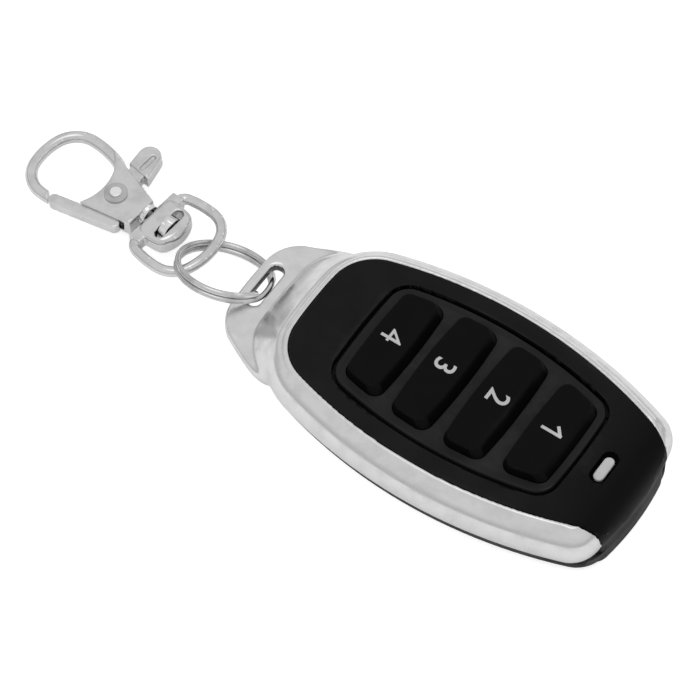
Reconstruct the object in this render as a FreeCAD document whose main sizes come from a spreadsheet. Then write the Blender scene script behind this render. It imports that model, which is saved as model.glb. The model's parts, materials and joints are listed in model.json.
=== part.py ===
import FreeCAD, Part
import Sketcher
import math
import os
import re

# Four-key garage door remote: a chromed horseshoe rim round a black two-part housing, a soft keypad
# mat with four keys, and a split ring that joins the rim's lug to a swivel lobster clasp.
# Frame: +X runs towards the indicator end, +Y across, +Z up, origin in the middle of the back face.

sizes = {
    # housing outline seen from above, all outlines share the place where the sides are widest
    "side_peak": 3.5, "side_radius": 65.0, "cover_half": 12.9, "cover_left": 19.5, "cover_end": 29.9,
    "cover_corner": 6.5, "nose_corner": 2.5, "tail_bow": 70.0, "end_bow": 40.0,
    # chromed rim, its section is measured at the widest place
    "rim_width": 2.95, "rim_top": 9.3, "rim_foot": 0.4, "lip_width": 0.5, "facet_drop": 0.43,
    "bulge_radius": 3.8, "bulge_height": 5.5, "waist_height": 2.44, "foot_width": 0.7,
    "frame_end": 30.0, "tip_corner": 4.5, "tongue_end": 28.9,
    "edge_height": 2.6, "edge_start": 4.0, "edge_radius": 155.0,
    # lug, slope and slot for the split ring
    "lug_left": 30.0, "lug_half": 16.1, "lug_corner": 5.5, "lug_base": 3.35, "lug_top": 4.8,
    "lug_edge": 0.35, "slope_left": 25.5, "slope_half": 15.6, "slope_top": 8.8, "slope_top_left": 20.9,
    "slope_top_half": 13.8, "slope_corner": 7.0, "slot_x": -27.6, "slot_y": 0.5, "slot_wide": 1.9,
    "slot_long": 6.9, "slot_edge": 0.3,
    # covers
    "fit_gap": 0.04, "wall": 1.2, "crown_top": 9.65, "crown_peak": 5.0, "crown_radius": 900.0,
    "cross_radius": 185.0, "roll_radius": 4.3, "ceiling": 8.05, "seam": 2.65, "nose_wall": 2.5,
    "flange_width": 1.65, "toe_gap": 0.2, "floor": 1.1, "base_round": 1.3,
    # keypad opening, mat and keys
    "pad_left": 12.4, "pad_right": 21.45, "pad_border": 2.4, "pad_side": 62.0, "pad_corner": 3.5,
    "pad_bow": 110.0, "pad_gap": 0.55, "mat_top": 9.4, "mat_base": 7.15, "mat_panel": 8.5,
    "mat_lip": 0.45, "mat_skirt": 0.5, "seat_gap": 0.05,
    "key4_x": -7.3, "key3_x": 0.45, "key2_x": 8.35, "key1_x": 16.65, "key_width": 6.3,
    "key_margin": 1.9, "key_corner": 1.5, "key_bow": 90.0, "key_gap": 0.12, "key_flange": 0.3,
    "key_base": 7.9, "key_flange_top": 8.3, "key_shoulder": 9.7, "key_top": 10.8, "key_front": 0.9,
    "key_back": 0.25, "key_ends": 0.25, "key_round": 0.3, "nub_radius": 1.2, "nub_sink": 0.2,
    # indicator
    "led_x": 24.5, "led_wide": 2.3, "led_long": 5.0, "window_wide": 1.45, "window_long": 3.8,
    "window_top": 9.1, "recess_floor": 8.75, "window_foot": 7.3, "window_rim": 0.35,
    # board and what it carries
    "board_base": 4.9, "board_top": 5.9, "board_left": 13.2, "board_right": 20.4, "board_border": 2.5,
    "board_corner": 3.0, "tongue_half": 4.2, "board_tip": 26.6, "switch_size": 4.4, "switch_top": 7.4,
    "plunger_radius": 0.9, "plunger_gap": 0.08, "plunger_foot": 7.0, "plunger_top": 7.78, "bore_depth": 0.85,
    "led_top": 7.1, "chip_tall": 1.2, "chip_long": 3.9, "chip_wide": 3.4, "can_reach": 1.0, "can_radius": 1.2,
    "coil_radius": 1.2, "coil_shift": 0.6, "small_long": 1.6, "small_wide": 0.8, "small_tall": 0.6,
    "small_shift": 1.2,
    # coin cell and its springs
    "cell_x": 3.5, "cell_radius": 10.0, "cell_base": 1.34, "cell_tall": 3.2, "cap_rim": 1.4,
    "cap_tall": 0.6, "clip_thick": 0.2, "clip_half": 3.0, "clip_gap": 0.02, "contact_half": 2.0,
    "contact_reach": 4.3,
    # screws
    "screw_x": -16.2, "front_screw_x": 23.6, "front_screw_y": 6.5, "boss_radius": 1.75, "thread_radius": 0.7,
    "head_radius": 1.25, "head_tall": 0.75, "head_sink": 0.12, "screw_tall": 5.2, "screw_gap": 0.05,
    "boss_foot": 2.1, "cross_long": 0.75, "cross_wide": 0.21,
    # split ring
    "ring_x": -33.45, "ring_y": -0.4, "ring_z": 3.93, "ring_radius": 6.3, "ring_wire": 0.8,
    "ring_pitch": 0.83, "ring_yaw": 6.0, "ring_tilt": 30.0, "ring_climb": 44.0,
    # clasp, measured in its own frame with the swivel axis along its length
    "clasp_x": -46.0, "clasp_y": 1.87, "clasp_z": 2.8, "clasp_yaw": -6.0, "clasp_pitch": 3.9,
    "swivel_y": -0.3, "hook_y": -1.1, "hook_left": 18.95, "hook_right": 7.4, "hook_half": 5.3,
    "hook_peak": -14.3, "hook_side": 14.0, "hook_bow": 9.0, "hook_corner": 4.1, "hook_heel": 4.0,
    "hook_wire": 1.65, "mouth_x": -15.0, "mouth_y": -1.5, "mouth_radius": 6.8,
    "body_thick": 2.9, "body_right": 1.5, "body_upper": 4.1, "body_lower": 4.95, "neck_upper": 1.25,
    "neck_lower": 3.5, "body_round": 0.35, "cheek_gap": 1.7, "slot_room": 0.3, "slot_wing": 1.0,
    "tip_x": -12.3, "tip_y": -6.35, "heel_x": -3.6, "heel_y": -4.3, "gate_wire": 1.6, "gate_gap": 0.1,
    "web_y": -4.2, "web_radius": 1.5, "rivet_x": -6.1, "rivet_y": -1.0, "rivet_radius": 0.7,
    "rivet_head": 1.6, "rivet_rise": 0.2, "button_radius": 0.8, "button_rise": 0.25, "hub_radius": 2.1,
    "lever_radius": 1.2, "thumb_x": -7.0, "thumb_y": 6.5, "thumb_radius": 1.65, "thumb_thick": 2.4,
    "thumb_round": 0.5, "thumb_foot_x": -8.3, "thumb_foot_y": 3.9, "thumb_heel_x": -4.6,
    "thumb_heel_y": 3.45, "thumb_groove": 0.35, "groove_x": -6.3, "groove_foot": 4.3, "pin_gap": 0.06,
    "bow_end": 9.15, "bow_half": 5.55, "bow_peak": 4.4, "bow_side": 14.0, "bow_curve": 9.0,
    "bow_corner": 3.8, "bow_wire": 1.5, "bar_left": 0.6, "bar_right": 1.3, "bar_half": 4.4,
    "bar_thick": 2.0, "dome_half": 3.4, "dome_end": 4.9, "dome_thick": 2.9,
    "dome_corner": 1.5, "dome_round": 0.9, "pit_x": 2.6, "pit_long": 1.4, "pit_half": 2.6,
    "post_radius": 0.9, "post_head": 1.85, "collar_radius": 1.5, "collar_gap": 0.12,
}

doc = FreeCAD.newDocument("remote")
sheet = doc.addObject("Spreadsheet::Sheet", "sizes")
for row, (alias, number) in enumerate(sizes.items(), start=1):
    sheet.set("A%d" % row, alias)
    sheet.set("B%d" % row, repr(number))
    sheet.setAlias("B%d" % row, alias)
doc.recompute()

nodes = []


def ref(text):
    return re.sub(r"[a-z][a-z0-9_]*", lambda word: "sizes." + word[0] if word[0] in sizes else word[0], text)


def size(text):
    return float(sheet.evalExpression(ref(text)))


def bind(thing, path, text):
    thing.setExpression(path, ref(text))


def body(label):
    piece = doc.addObject("PartDesign::Body", label)
    piece.Label = label
    nodes.append(piece)
    return piece


def sketch(piece, name, plane="XY", offset="0"):
    drawn = piece.newObject("Sketcher::SketchObject", piece.Label + "_" + name)
    base = [part for part in piece.Origin.OriginFeatures if part.Role == plane + "_Plane"][0]
    drawn.AttachmentSupport = [(base, "")]
    drawn.MapMode = "FlatFace"
    bind(drawn, ".AttachmentOffset.Base.z", offset)
    return drawn


def fix(drawn, kind, where, text):
    index = drawn.addConstraint(Sketcher.Constraint(kind, *where, size(text)))
    bind(drawn, "Constraints[%d]" % index, text)


def pin(drawn, geometry, point, across, up):
    fix(drawn, "DistanceX", (-1, 1, geometry, point), across)
    fix(drawn, "DistanceY", (-1, 1, geometry, point), up)


def join(drawn, kind, pairs):
    for first, first_end, second, second_end in pairs:
        drawn.addConstraint(Sketcher.Constraint(kind, first, first_end, second, second_end))


def arc(centre, radius, start, end):
    circle = Part.Circle(FreeCAD.Vector(centre[0], centre[1], 0), FreeCAD.Vector(0, 0, 1), radius)
    return Part.ArcOfCircle(circle, start, end)


def circle(drawn, across, up, radius):
    ring = Part.Circle(FreeCAD.Vector(size(across), size(up), 0), FreeCAD.Vector(0, 0, 1), size(radius))
    index = drawn.addGeometry(ring, False)
    fix(drawn, "Radius", (index,), radius)
    pin(drawn, index, 3, across, up)


def polygon(drawn, corners):
    points = [FreeCAD.Vector(size(across), size(up), 0) for across, up in corners]
    count = len(points)
    runs = [Part.LineSegment(points[n], points[(n + 1) % count]) for n in range(count)]
    lines = [drawn.addGeometry(run, False) for run in runs]
    join(drawn, "Coincident", [(lines[n], 2, lines[(n + 1) % count], 1) for n in range(count)])
    for line, (across, up) in zip(lines, corners):
        pin(drawn, line, 1, across, up)


def box(drawn, left, right, low, high):
    polygon(drawn, [(left, low), (right, low), (right, high), (left, high)])


def stadium(drawn, start, end, radius):
    """A bar with round ends between two points."""
    first = FreeCAD.Vector(size(start[0]), size(start[1]), 0)
    last = FreeCAD.Vector(size(end[0]), size(end[1]), 0)
    along = (last - first).normalize()
    side = FreeCAD.Vector(-along.y, along.x, 0) * size(radius)
    turn = math.atan2(side.y, side.x)
    near = drawn.addGeometry(arc(first, size(radius), turn, turn + math.pi), False)
    low = drawn.addGeometry(Part.LineSegment(first - side, last - side), False)
    far = drawn.addGeometry(arc(last, size(radius), turn + math.pi, turn + 2 * math.pi), False)
    high = drawn.addGeometry(Part.LineSegment(last + side, first + side), False)
    join(drawn, "Tangent", [(near, 2, low, 1), (low, 2, far, 1), (far, 2, high, 1), (high, 2, near, 1)])
    fix(drawn, "Radius", (near,), radius)
    drawn.addConstraint(Sketcher.Constraint("Equal", near, far))
    pin(drawn, near, 3, *start)
    pin(drawn, far, 3, *end)


def meeting(first, reach, second, other_reach, want):
    """Centre of a corner arc: where two circles about the neighbours' centres cross, nearest to want."""
    gap = math.dist(first, second)
    along = (reach ** 2 - other_reach ** 2 + gap ** 2) / (2 * gap)
    off = math.sqrt(reach ** 2 - along ** 2)
    ux, uy = (second[0] - first[0]) / gap, (second[1] - first[1]) / gap
    spots = [(first[0] + along * ux - step * uy, first[1] + along * uy + step * ux) for step in (off, -off)]
    return min(spots, key=lambda spot: math.dist(spot, want))


def barrel(drawn, line, grow="0", middle="0"):
    """Outline of eight tangent arcs: two bulged sides, two bowed ends and four corners."""
    left, right, peak = line["left"] + " - (" + grow + ")", line["right"] + " + (" + grow + ")", line["peak"]
    side = line["side"] + " + (" + grow + ")"
    bows = [line["bow_l"] + " + (" + grow + ")", line["bow_r"] + " + (" + grow + ")"]
    corners = [line["corner_l"] + " + (" + grow + ")", line["corner_r"] + " + (" + grow + ")"]
    reach = line["side"] + " - (" + line["half"] + ")"
    mid = size(middle)
    upper, lower = (size(peak), mid - size(reach)), (size(peak), mid + size(reach))
    ends = [(size(left) + size(bows[0]), mid), (size(right) - size(bows[1]), mid)]
    shapes = []
    for end, hand in ((1, 1), (1, 0), (0, 1), (0, 0)):
        centre = upper if hand else lower
        want = (size(right) if end else size(left), mid + (1 if hand else -1) * size(line["half"]))
        small = size(corners[end])
        shapes.append(meeting(centre, size(side) - small, ends[end], size(bows[end]) - small, want))
    right_up, right_down, left_up, left_down = shapes

    def angle(centre, spot):
        return math.atan2(spot[1] - centre[1], spot[0] - centre[0])

    def piece(centre, radius, start, end):
        while end < start:
            end += 2 * math.pi
        return drawn.addGeometry(arc(centre, radius, start, end), False)

    turn = math.pi
    rounds = [
        piece(ends[1], size(bows[1]), angle(ends[1], right_down), angle(ends[1], right_up)),
        piece(right_up, size(corners[1]), angle(ends[1], right_up), angle(upper, right_up)),
        piece(upper, size(side), angle(upper, right_up), angle(upper, left_up)),
        piece(left_up, size(corners[0]), angle(upper, left_up), angle(ends[0], left_up)),
        piece(ends[0], size(bows[0]), angle(ends[0], left_up), angle(ends[0], left_down) + 2 * turn),
        piece(left_down, size(corners[0]), angle(ends[0], left_down), angle(lower, left_down)),
        piece(lower, size(side), angle(lower, left_down), angle(lower, right_down)),
        piece(right_down, size(corners[1]), angle(lower, right_down), angle(ends[1], right_down)),
    ]
    join(drawn, "Tangent", [(rounds[n], 2, rounds[(n + 1) % 8], 1) for n in range(8)])
    radii = (bows[1], corners[1], side, corners[0], bows[0], corners[0], side, corners[1])
    for index, radius in zip(rounds, radii):
        fix(drawn, "Radius", (index,), radius)
    pin(drawn, rounds[0], 3, right + " - (" + bows[1] + ")", middle)
    pin(drawn, rounds[4], 3, left + " + " + bows[0], middle)
    pin(drawn, rounds[2], 3, peak, middle + " - (" + reach + ")")
    pin(drawn, rounds[6], 3, peak, middle + " + (" + reach + ")")


def pad(piece, drawn, tall, down=False, both=False, taper=None):
    feature = piece.newObject("PartDesign::Pad", drawn.Name + "_pad")
    feature.Profile = drawn
    bind(feature, "Length", tall)
    feature.Reversed = down
    if both:
        feature.SideType = "Symmetric"
    if taper:
        bind(feature, "TaperAngle", taper)
    drawn.Visibility = False
    doc.recompute()
    return feature


def pocket(piece, drawn, deep, up=False, both=False, taper=None):
    before = piece.Shape.Volume
    feature = piece.newObject("PartDesign::Pocket", drawn.Name + "_pocket")
    feature.Profile = drawn
    bind(feature, "Length", deep)
    feature.Reversed = up
    if both:
        feature.SideType = "Symmetric"
    if taper:
        bind(feature, "TaperAngle", taper)
    doc.recompute()
    if piece.Shape.Volume > before - 1e-6:
        raise RuntimeError(drawn.Name + " cuts nothing")
    return feature


def sweep(piece, kind, name, profile, path):
    before = piece.Shape.Volume if piece.Tip else 0
    feature = piece.newObject("PartDesign::" + kind + "Pipe", piece.Label + "_" + name)
    feature.Profile = profile
    feature.Spine = path
    doc.recompute()
    if abs(piece.Shape.Volume - before) < 1e-6:
        raise RuntimeError(feature.Name + " changes nothing")
    return feature


def loft(piece, name, low, high):
    feature = piece.newObject("PartDesign::AdditiveLoft", piece.Label + "_" + name)
    feature.Profile = low
    feature.Sections = [high]
    feature.Ruled = True
    doc.recompute()
    return feature


def soften(piece, kind, name, amount, test):
    """Round or chamfer the edges whose bounding box passes the test."""
    edges = ["Edge%d" % (n + 1) for n, edge in enumerate(piece.Shape.Edges) if test(edge.BoundBox)]
    base = piece.Tip
    feature = piece.newObject("PartDesign::" + kind, piece.Label + "_" + name)
    feature.Base = (base, edges)
    bind(feature, "Radius" if kind == "Fillet" else "Size", amount)
    doc.recompute()
    return feature


def level(height):
    return lambda bounds: abs(bounds.ZMin - height) < 1e-4 and abs(bounds.ZMax - height) < 1e-4


cover_line = {"left": "-cover_left", "right": "cover_end", "peak": "side_peak", "half": "cover_half",
              "side": "side_radius", "bow_l": "tail_bow", "bow_r": "end_bow", "corner_l": "cover_corner",
              "corner_r": "nose_corner"}
rim_line = dict(cover_line, right="frame_end - rim_width", corner_r="tip_corner - rim_width")
mouth_line = dict(cover_line, right="frame_end + rim_width")
base_line = dict(cover_line, right="frame_end - flange_width - toe_gap", corner_r="tip_corner - flange_width")
lug_line = dict(cover_line, left="-lug_left", right="-cover_left + lug_corner", half="lug_half",
                corner_l="lug_corner", corner_r="lug_corner")
slope_line = dict(lug_line, left="-slope_left", right="0", half="slope_half", corner_l="slope_corner")
slope_top_line = dict(slope_line, left="-slope_top_left", half="slope_top_half")
pad_line = {"left": "-pad_left", "right": "pad_right", "peak": "side_peak", "half": "cover_half - pad_border",
            "side": "pad_side", "bow_l": "pad_bow", "bow_r": "pad_bow", "corner_l": "pad_corner",
            "corner_r": "pad_corner"}
board_line = dict(pad_line, left="-board_left", right="board_right", half="cover_half - board_border",
                  corner_l="board_corner", corner_r="board_corner")


def key_line(number):
    centre = "key%d_x" % number
    return {"left": centre + " - key_width / 2", "right": centre + " + key_width / 2",
            "peak": "side_peak", "half": "cover_half - pad_border - key_margin",
            "side": "pad_side - key_margin", "bow_l": "key_bow", "bow_r": "key_bow",
            "corner_l": "key_corner", "corner_r": "key_corner"}


def key_top_line(number):
    """A key's top leans towards the lug: its front slopes more than its back."""
    line = key_line(number)
    return dict(line, left=line["left"] + " + key_back", right=line["right"] + " - key_front",
                half=line["half"] + " - key_ends", side=line["side"] + " - key_ends",
                corner_l="key_corner - key_back", corner_r="key_corner - key_back")


def swept_rim(piece, shrink="0"):
    """The rim's bulged section carried round its outline; shrink draws the visible side in."""
    path = sketch(piece, "rim_path")
    barrel(path, rim_line, "rim_width")
    section = sketch(piece, "rim_section", "YZ", "side_peak")
    inner = "cover_half - lip_width"
    bulge = "cover_half + rim_width - bulge_radius"
    radius = "bulge_radius - (" + shrink + ")"
    lip_z = "rim_top - (" + shrink + ")"
    facet_z = "rim_top - facet_drop - (" + shrink + ")"
    facet_y = bulge + " + sqrt((" + radius + ") ^ 2 - (" + facet_z + " - bulge_height) ^ 2)"
    waist_y = bulge + " + sqrt((" + radius + ") ^ 2 - (waist_height - bulge_height) ^ 2)"
    lip_y = facet_y + " - facet_drop"
    corners = [(inner, lip_z), (lip_y, lip_z), (facet_y, facet_z), (waist_y, "waist_height"),
               ("cover_half + foot_width", "rim_foot"), (inner, "rim_foot")]
    spots = [FreeCAD.Vector(size(across), size(up), 0) for across, up in corners]
    centre = (size(bulge), size("bulge_height"))
    angles = [math.atan2(spots[n].y - centre[1], spots[n].x - centre[0]) for n in (3, 2)]
    ids = []
    for n in range(6):
        if n == 2:
            ids.append(section.addGeometry(arc(centre, size(radius), angles[0], angles[1]), False))
        else:
            ids.append(section.addGeometry(Part.LineSegment(spots[n], spots[(n + 1) % 6]), False))
    join(section, "Coincident", [(ids[0], 2, ids[1], 1), (ids[1], 2, ids[2], 2), (ids[2], 1, ids[3], 1),
                                 (ids[3], 2, ids[4], 1), (ids[4], 2, ids[5], 1), (ids[5], 2, ids[0], 1)])
    fix(section, "Radius", (ids[2],), radius)
    pin(section, ids[2], 3, bulge, "bulge_height")
    fix(section, "DistanceY", (-1, 1, ids[2], 2), facet_z)
    fix(section, "DistanceY", (-1, 1, ids[2], 1), "waist_height")
    pin(section, ids[0], 1, *corners[0])
    pin(section, ids[0], 2, *corners[1])
    pin(section, ids[3], 2, *corners[4])
    pin(section, ids[4], 2, *corners[5])
    sweep(piece, "Additive", "rim", section, path)


def nose_curve(drawn, gap, corners):
    """Side view: the rim's top rolls down to the tongue's end; corners close the outline from top to foot."""
    crest, low, radius = "tongue_end - roll_radius", "rim_top - roll_radius", "roll_radius + " + gap
    centre, reach = (size(crest), size(low)), size(radius)
    bend = drawn.addGeometry(arc(centre, reach, 0, math.pi / 2), False)
    spots = [(centre[0], centre[1] + reach)] + [(size(across), size(up)) for across, up in corners]
    spots.append((centre[0] + reach, centre[1]))
    points = [FreeCAD.Vector(*spot, 0) for spot in spots]
    runs = [Part.LineSegment(start, end) for start, end in zip(points, points[1:])]
    lines = [drawn.addGeometry(run, False) for run in runs]
    join(drawn, "Coincident", [(bend, 2, lines[0], 1), (lines[-1], 2, bend, 1)])
    join(drawn, "Coincident", [(first, 2, last, 1) for first, last in zip(lines, lines[1:])])
    fix(drawn, "Radius", (bend,), radius)
    pin(drawn, bend, 3, crest, low)
    fix(drawn, "DistanceX", (-1, 1, bend, 2), crest)
    fix(drawn, "DistanceY", (-1, 1, bend, 1), low)
    for line, (across, up) in zip(lines, corners):
        pin(drawn, line, 2, across, up)


def edge_curve(drawn, lift, low):
    """Side view: the rim's lower edge, level towards the nose and falling in an arc towards the lug."""
    x0, x1 = size("edge_start"), size("frame_end + rim_width")
    z, radius = size("edge_height + (" + lift + ")"), size("edge_radius")
    tail = size("-lug_left - rim_width")
    drop = radius - math.sqrt(radius ** 2 - (tail - x0) ** 2)
    spots = [(x0, z), (x1, z), (x1, size(low)), (tail, size(low)), (tail, z - drop)]
    points = [FreeCAD.Vector(*spot, 0) for spot in spots]
    lines = [drawn.addGeometry(Part.LineSegment(points[n], points[n + 1]), False) for n in range(4)]
    turn = math.pi / 2
    span = math.asin((x0 - tail) / radius)
    bend = drawn.addGeometry(arc((x0, z - radius), radius, turn, turn + span), False)
    join(drawn, "Coincident", [(lines[n], 2, lines[n + 1], 1) for n in range(3)])
    join(drawn, "Coincident", [(lines[3], 2, bend, 2)])
    join(drawn, "Tangent", [(bend, 1, lines[0], 1)])
    fix(drawn, "Radius", (bend,), "edge_radius")
    pin(drawn, bend, 3, "edge_start", "edge_height + (" + lift + ") - edge_radius")
    pin(drawn, lines[1], 2, "frame_end + rim_width", low)
    pin(drawn, lines[2], 2, "-lug_left - rim_width", low)
    for line in (lines[1], lines[3]):
        drawn.addConstraint(Sketcher.Constraint("Vertical", line))
    drawn.addConstraint(Sketcher.Constraint("Horizontal", lines[0]))


def metal_frame():
    piece = body("metal_frame")
    plate = sketch(piece, "lug", "XY", "lug_base")
    barrel(plate, lug_line)
    pad(piece, plate, "lug_top - lug_base")
    soften(piece, "Chamfer", "lug_edge", "lug_edge", level(size("lug_top")))
    foot = sketch(piece, "slope_foot", "XY", "lug_top - lug_edge")
    crest = sketch(piece, "slope_crest", "XY", "slope_top")
    barrel(foot, slope_line)
    barrel(crest, slope_top_line)
    loft(piece, "slope", foot, crest)
    swept_rim(piece)
    mouth = sketch(piece, "mouth")
    barrel(mouth, mouth_line)
    pocket(piece, mouth, "crown_top + wall", up=True)
    tips = sketch(piece, "tips", "XZ")
    far, top = "frame_end + rim_width", "crown_top + wall"
    crest = "tongue_end - roll_radius"
    nose_curve(tips, "0", [(crest, top), (far, top), (far, "-wall"), ("tongue_end", "-wall")])
    pocket(piece, tips, "4 * cover_half", both=True)
    edge = sketch(piece, "edge", "XZ")
    edge_curve(edge, "0", "-wall")
    pocket(piece, edge, "4 * cover_half", both=True)
    reach = "(slot_long - slot_wide) / 2"
    start, end = ("slot_x", "slot_y - " + reach), ("slot_x", "slot_y + " + reach)
    slot = sketch(piece, "slot", "XY", "lug_top + wall")
    stadium(slot, start, end, "slot_wide / 2")
    pocket(piece, slot, "lug_top + wall")
    rim = sketch(piece, "slot_rim", "XY", "lug_top")
    stadium(rim, start, end, "slot_wide / 2 + slot_edge")
    pocket(piece, rim, "slot_edge", taper="-45")
    return piece


def top_cover():
    piece = body("top_cover")
    swept_rim(piece, "fit_gap")
    room = sketch(piece, "frame_room", "XZ")
    tail, end = "-lug_left - rim_width", "tongue_end + fit_gap"
    nose_curve(room, "fit_gap", [(tail, "rim_top + fit_gap"), (tail, "-wall"), (end, "-wall")])
    pocket(piece, room, "4 * cover_half", both=True)
    shell = sketch(piece, "outline", "XY", "seam")
    barrel(shell, cover_line, "-fit_gap")
    pad(piece, shell, "crown_top - seam + wall / 4")
    crown(piece)
    bosses = sketch(piece, "bosses", "XY", "boss_foot")
    inner = sketch(piece, "inside", "XY", "seam - wall")
    barrel(inner, dict(cover_line, right="cover_end - nose_wall + wall"), "-fit_gap - wall")
    pocket(piece, inner, "ceiling - seam + wall", up=True)
    for across, up in screw_places():
        circle(bosses, across, up, "boss_radius")
    pad(piece, bosses, "ceiling - boss_foot + wall / 4")
    threads = sketch(piece, "threads", "XY", "boss_foot - wall")
    for across, up in screw_places():
        circle(threads, across, up, "thread_radius + screw_gap")
    pocket(piece, threads, "screw_tall", up=True)
    opening = sketch(piece, "keypad", "XY", "ceiling - wall / 2")
    barrel(opening, pad_line)
    pocket(piece, opening, "crown_top - ceiling + 2 * wall", up=True)
    start, end = led_ends("window_long", "window_wide")
    hole = sketch(piece, "led_hole", "XY", "ceiling - wall / 2")
    stadium(hole, start, end, "window_wide / 2 + seat_gap")
    pocket(piece, hole, "crown_top - ceiling + 2 * wall", up=True)
    start, end = led_ends("led_long", "led_wide")
    recess = sketch(piece, "led_recess", "XY", "recess_floor")
    stadium(recess, start, end, "led_wide / 2")
    pocket(piece, recess, "crown_top", up=True)
    return piece


def screw_places():
    return [("screw_x", "0"), ("front_screw_x", "front_screw_y"), ("front_screw_x", "-front_screw_y")]


def led_ends(length, width):
    reach = "(" + length + " - " + width + ") / 2"
    return ("led_x", "-" + reach), ("led_x", reach)


def crown(piece):
    """The cover's top, bowed along and across, rolls down to the nose's end wall."""
    path = sketch(piece, "crown_path", "XZ")
    low_x, top_x = size("-lug_left - rim_width"), size("cover_end - roll_radius")
    peak, big, small = size("crown_peak"), size("crown_radius"), size("roll_radius")
    centre = (peak, size("crown_top") - big)
    reach = top_x - peak
    drop = math.sqrt((big - small) ** 2 - reach ** 2)
    turn = math.atan2(drop, reach)
    centre_small = (top_x, centre[1] + drop)
    start = math.acos((low_x - peak) / big)
    long_arc = path.addGeometry(arc(centre, big, turn, start), False)
    roll = path.addGeometry(arc(centre_small, small, 0, turn), False)
    end = FreeCAD.Vector(centre_small[0] + small, centre_small[1], 0)
    wall = path.addGeometry(Part.LineSegment(end, FreeCAD.Vector(end.x, size("-wall"), 0)), False)
    join(path, "Tangent", [(long_arc, 1, roll, 2), (roll, 1, wall, 1)])
    fix(path, "Radius", (long_arc,), "crown_radius")
    fix(path, "Radius", (roll,), "roll_radius")
    pin(path, long_arc, 3, "crown_peak", "crown_top - crown_radius")
    fix(path, "DistanceX", (-1, 1, roll, 3), "cover_end - roll_radius")
    fix(path, "DistanceX", (-1, 1, long_arc, 2), "-lug_left - rim_width")
    fix(path, "DistanceY", (-1, 1, wall, 2), "-wall")
    path.addConstraint(Sketcher.Constraint("Vertical", wall))
    section = sketch(piece, "crown_section", "YZ", "-lug_left - rim_width")
    height = centre[1] + math.sqrt(big ** 2 - (low_x - peak) ** 2)
    level_z = "crown_top - crown_radius + sqrt(crown_radius ^ 2 - (lug_left + rim_width + crown_peak) ^ 2)"
    across = size("cross_radius")
    half = size("2 * cover_half")
    tilt = math.asin(half / across)
    up = math.pi / 2
    bow = section.addGeometry(arc((0, height - across), across, up - tilt, up + tilt), False)
    low = height - across + across * math.cos(tilt)
    lid = height + size("2 * wall")
    points = [FreeCAD.Vector(*spot, 0) for spot in ((-half, low), (-half, lid), (half, lid), (half, low))]
    lines = [section.addGeometry(Part.LineSegment(points[n], points[n + 1]), False) for n in range(3)]
    join(section, "Coincident", [(bow, 2, lines[0], 1), (lines[0], 2, lines[1], 1),
                                 (lines[1], 2, lines[2], 1), (lines[2], 2, bow, 1)])
    fix(section, "Radius", (bow,), "cross_radius")
    pin(section, bow, 3, "0", level_z + " - cross_radius")
    pin(section, lines[1], 1, "-2 * cover_half", level_z + " + 2 * wall")
    pin(section, lines[1], 2, "2 * cover_half", level_z + " + 2 * wall")
    for line in (lines[0], lines[2]):
        section.addConstraint(Sketcher.Constraint("Vertical", line))
    sweep(piece, "Subtractive", "crown", section, path)


def bottom_cover():
    piece = body("bottom_cover")
    flange = sketch(piece, "flange")
    barrel(flange, base_line, "flange_width")
    pad(piece, flange, "edge_height - fit_gap")
    soften(piece, "Chamfer", "base_edge", "base_round", level(0))
    edge = sketch(piece, "edge", "XZ")
    edge_curve(edge, "-fit_gap", "edge_height + wall")
    pocket(piece, edge, "4 * cover_half", both=True)
    core = sketch(piece, "core", "XY", "floor / 2")
    barrel(core, cover_line, "-fit_gap")
    pad(piece, core, "seam - fit_gap - floor / 2")
    inside = sketch(piece, "inside", "XY", "floor")
    barrel(inside, cover_line, "-fit_gap - wall")
    pocket(piece, inside, "seam", up=True)
    bosses = sketch(piece, "bosses", "XY", "floor / 2")
    heads = sketch(piece, "heads", "XY", "-wall")
    shanks = sketch(piece, "shanks", "XY", "-wall")
    for across, up in screw_places():
        circle(bosses, across, up, "boss_radius")
        circle(heads, across, up, "head_radius + screw_gap")
        circle(shanks, across, up, "thread_radius + screw_gap")
    pad(piece, bosses, "boss_foot - fit_gap - floor / 2")
    pocket(piece, heads, "wall + head_sink + head_tall + screw_gap", up=True)
    pocket(piece, shanks, "4 * wall", up=True)
    return piece


def keypad_mat():
    piece = body("keypad_mat")
    lip = sketch(piece, "lip", "XY", "mat_base")
    barrel(lip, pad_line, "mat_lip")
    pad(piece, lip, "ceiling - seat_gap - mat_base")
    panel = sketch(piece, "panel", "XY", "mat_base")
    barrel(panel, pad_line, "-pad_gap")
    pad(piece, panel, "mat_top - mat_base")
    soften(piece, "Fillet", "panel_round", "pad_gap / 2", level(size("mat_top")))
    under = sketch(piece, "under", "XY", "mat_base - wall")
    barrel(under, pad_line, "-pad_gap - mat_skirt")
    pocket(piece, under, "mat_panel - mat_base + wall", up=True)
    holes = sketch(piece, "key_holes", "XY", "mat_base")
    for number in (1, 2, 3, 4):
        barrel(holes, key_line(number), "key_gap")
    pocket(piece, holes, "mat_top", up=True)
    return piece


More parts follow.
